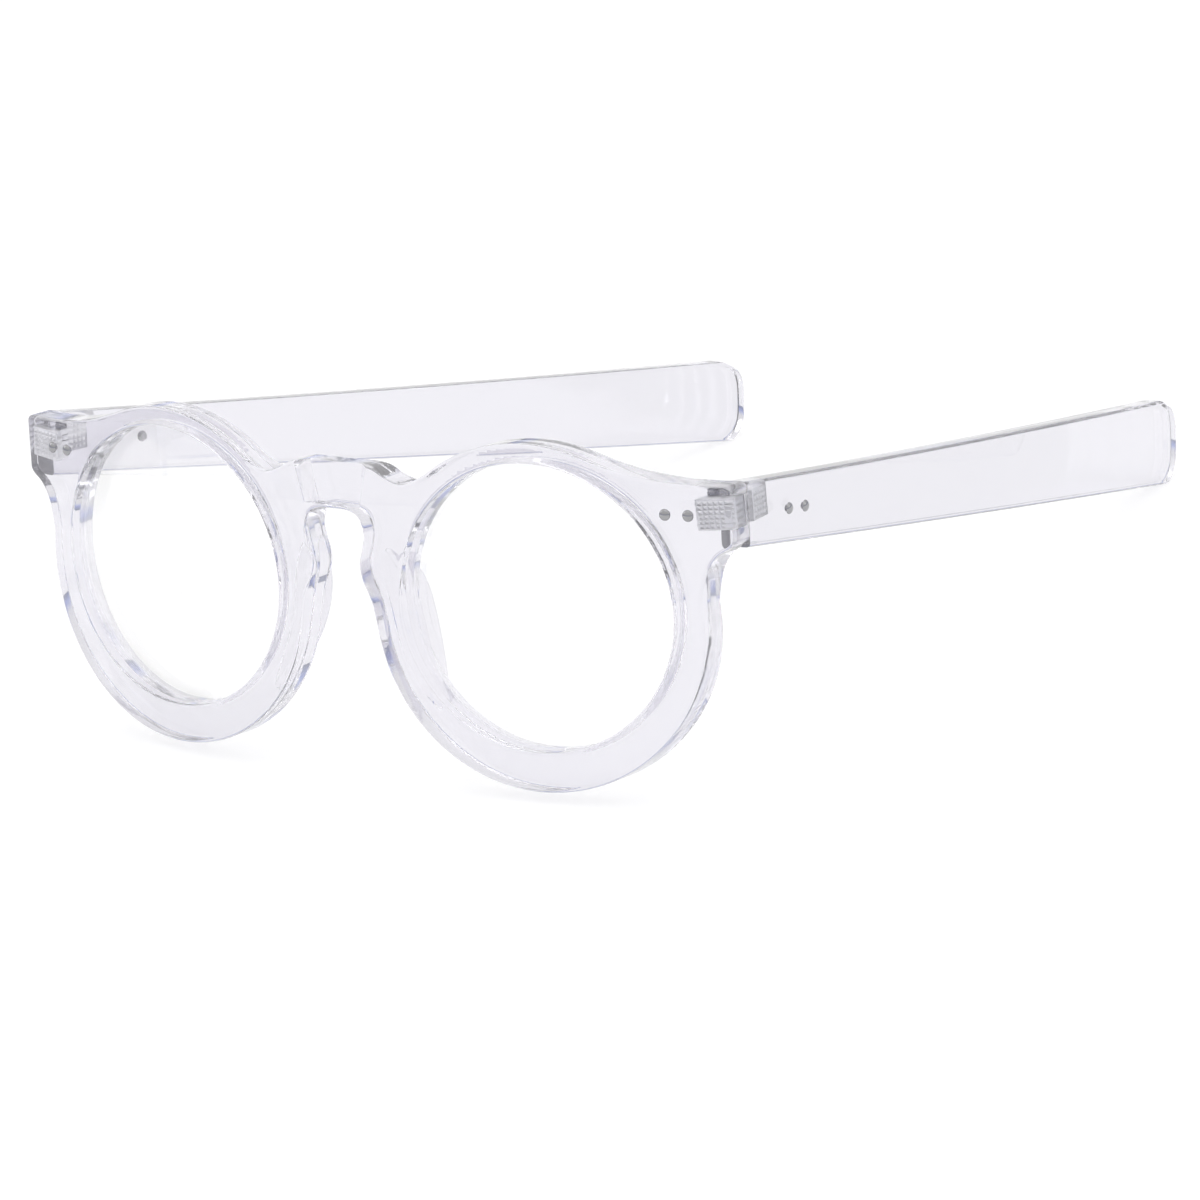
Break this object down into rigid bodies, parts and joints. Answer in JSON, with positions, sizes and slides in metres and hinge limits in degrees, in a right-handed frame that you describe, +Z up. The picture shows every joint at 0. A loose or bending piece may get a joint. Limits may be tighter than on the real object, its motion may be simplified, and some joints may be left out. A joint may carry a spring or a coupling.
{
  "type": "eyeglasses",
  "caption": "Round keyhole-bridge eyeglasses in colourless clear plastic, with straight folding temples on riveted metal hinges.",
  "frame": {"origin": "centre of the footprint, on the surface the open glasses stand on", "axes": "+Z up from that surface, +X towards the wearer's left, +Y back along the temples, away from the front"},
  "size_m": [0.1318, 0.157, 0.0519],
  "materials": {
    "clear_plastic": "polished, colourless and see-through, with a faint lilac cast in depth",
    "pad_plastic": "clear, slightly softer polish than the frame",
    "lens": "polished and uncoated, fully clear",
    "hinge_steel": "fine-blanked nickel silver, knurled where it is buried in plastic",
    "polished_steel": "polished rivet heads",
    "screw_steel": "dark steel hinge screws"
  },
  "bodies": {
    "front": {"front_frame": "clear_plastic", "lens_left": "lens", "nose_pad_left": "pad_plastic", "front_hinge_left": "hinge_steel", "hinge_screw_left": "screw_steel", "front_rivet_inner_left": "polished_steel", "front_rivet_outer_left": "polished_steel", "lens_right": "lens", "nose_pad_right": "pad_plastic", "front_hinge_right": "hinge_steel", "hinge_screw_right": "screw_steel", "front_rivet_inner_right": "polished_steel", "front_rivet_outer_right": "polished_steel"},
    "temple_left": {"temple_left": "clear_plastic", "temple_hinge_left": "hinge_steel", "temple_rivet_front_left": "polished_steel", "temple_rivet_rear_left": "polished_steel"},
    "temple_right": {"temple_right": "clear_plastic", "temple_hinge_right": "hinge_steel", "temple_rivet_front_right": "polished_steel", "temple_rivet_rear_right": "polished_steel"}
  },
  "joints": [
    {"name": "temple_left_fold", "type": "hinge", "parent": "front", "child": "temple_left", "pos_m": [0.06077, -0.0621, 0.04179], "axis": [-0.0747, 0.0801, 0.994], "range_deg": [0, 81]},
    {"name": "temple_right_fold", "type": "hinge", "parent": "front", "child": "temple_right", "pos_m": [-0.06077, -0.0621, 0.04179], "axis": [-0.0747, -0.0801, -0.994], "range_deg": [0, 70]}
  ]
}
